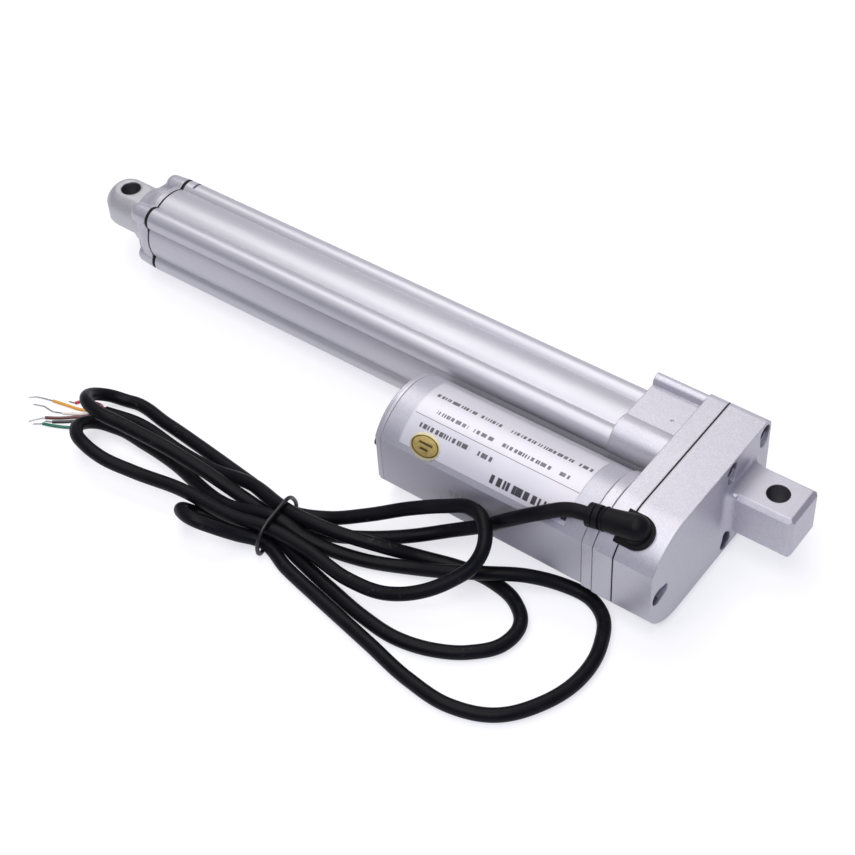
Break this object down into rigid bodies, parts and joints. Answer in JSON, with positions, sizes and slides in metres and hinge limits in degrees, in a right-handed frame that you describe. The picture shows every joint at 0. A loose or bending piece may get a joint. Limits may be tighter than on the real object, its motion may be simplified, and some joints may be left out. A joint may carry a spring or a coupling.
{
  "type": "linear actuator",
  "caption": "Electric linear actuator with a ribbed tube, side-mounted motor on a gear case, block and rod-eye mounts, and a flying lead with stripped wires.",
  "frame": {"origin": "centre of the rear mounting hole, on the tube axis", "axes": "+X along the tube towards the rod eye, +Y towards the motor, +Z along both mounting holes"},
  "size_m": [0.3267, 0.1419, 0.0505],
  "materials": {
    "cast_silver": "die-cast alloy, fine silver paint",
    "gasket_rubber": "black",
    "screw_zinc": "zinc plated",
    "tube_anodised": "extruded, satin clear anodised",
    "bush_plastic": "natural acetal",
    "seal_rubber": "black",
    "rod_metal": "turned, clear anodised",
    "eye_metal": "bead-blasted",
    "nut_brass": "turned",
    "steel": "ground",
    "gear_plastic": "natural acetal",
    "dark_plastic": "black",
    "bronze": "sintered bronze",
    "bearing_steel": "polished",
    "board_green": "glass-fibre board",
    "cover_silver": "silver lacquer",
    "screw_black": "black oxide",
    "can_steel": "zinc plated",
    "magnet": "ferrite",
    "lamination": "stacked steel",
    "copper": "enamelled copper",
    "phenolic": "phenolic",
    "carbon": "carbon",
    "pinion_brass": "cut",
    "elbow_rubber": "moulded, matte",
    "cable_jacket": "soft PVC, semi-matte",
    "tie_plastic": "black",
    "wire_colours": "coloured insulation and tinned ends",
    "label_film": "printed film",
    "sticker_gold": "gold film"
  },
  "bodies": {
    "housing": {"rear_gear_case": "cast_silver", "front_gear_case": "cast_silver", "case_gasket": "gasket_rubber", "case_screws": "screw_zinc", "outer_tube": "tube_anodised", "front_gasket": "gasket_rubber", "front_end_cap": "cast_silver", "front_cap_screws": "screw_zinc", "tube_screws": "screw_zinc", "rod_guide_bush": "bush_plastic", "rod_seal": "seal_rubber", "rear_bush": "bronze", "thrust_washer_fixed": "bearing_steel", "thrust_balls": "bearing_steel", "screw_bearing_outer": "bearing_steel", "screw_bearing_balls": "bearing_steel", "idler_shaft": "steel", "idler_washers": "bronze", "limit_switch_board": "board_green", "limit_switches": "dark_plastic", "motor_collar": "cast_silver", "motor_cover": "cover_silver", "motor_end_cap": "cast_silver", "end_cap_screws": "screw_black", "motor_screws": "screw_zinc", "motor_can": "can_steel", "motor_magnets": "magnet", "motor_front_bush": "bronze", "motor_endbell": "dark_plastic", "motor_rear_bush": "bronze", "brush_holder": "phenolic", "brushes": "carbon", "hall_board": "board_green", "cable_elbow": "elbow_rubber", "power_cable": "cable_jacket", "cable_tie": "tie_plastic", "cable_wires": "wire_colours", "rating_label": "label_film", "inspection_sticker": "sticker_gold"},
    "rod": {"rod_tube": "rod_metal", "rod_eye": "eye_metal", "drive_nut": "nut_brass", "nut_pins": "steel"},
    "screw": {"lead_screw": "steel", "screw_gear": "gear_plastic", "gear_key": "steel", "screw_retaining_ring": "steel", "screw_tip_guide": "dark_plastic", "thrust_washer_turning": "bearing_steel", "screw_bearing_inner": "bearing_steel"},
    "idler": {"idler_gear": "gear_plastic"},
    "rotor": {"motor_shaft": "steel", "armature_core": "lamination", "armature_windings": "copper", "commutator": "copper", "motor_pinion": "pinion_brass", "hall_magnet": "magnet"}
  },
  "joints": [
    {"name": "rod_extend", "type": "slide", "parent": "housing", "child": "rod", "axis": [1, 0, 0], "range_m": [0, 0.2]},
    {"name": "screw_spin", "type": "hinge", "parent": "housing", "child": "screw", "pos_m": [0.02, 0, 0], "axis": [1, 0, 0], "continuous": true},
    {"name": "idler_spin", "type": "hinge", "parent": "housing", "child": "idler", "pos_m": [0.02, 0.0196, 0], "axis": [1, 0, 0], "continuous": true},
    {"name": "rotor_spin", "type": "hinge", "parent": "housing", "child": "rotor", "pos_m": [0.03, 0.0386, 0], "axis": [1, 0, 0], "continuous": true}
  ],
  "couplings": [
    {"joint": "screw_spin", "follows": "rod_extend", "rad_per_m": 3141.6},
    {"joint": "idler_spin", "follows": "rod_extend", "rad_per_m": -11519},
    {"joint": "rotor_spin", "follows": "rod_extend", "rad_per_m": 39978}
  ]
}
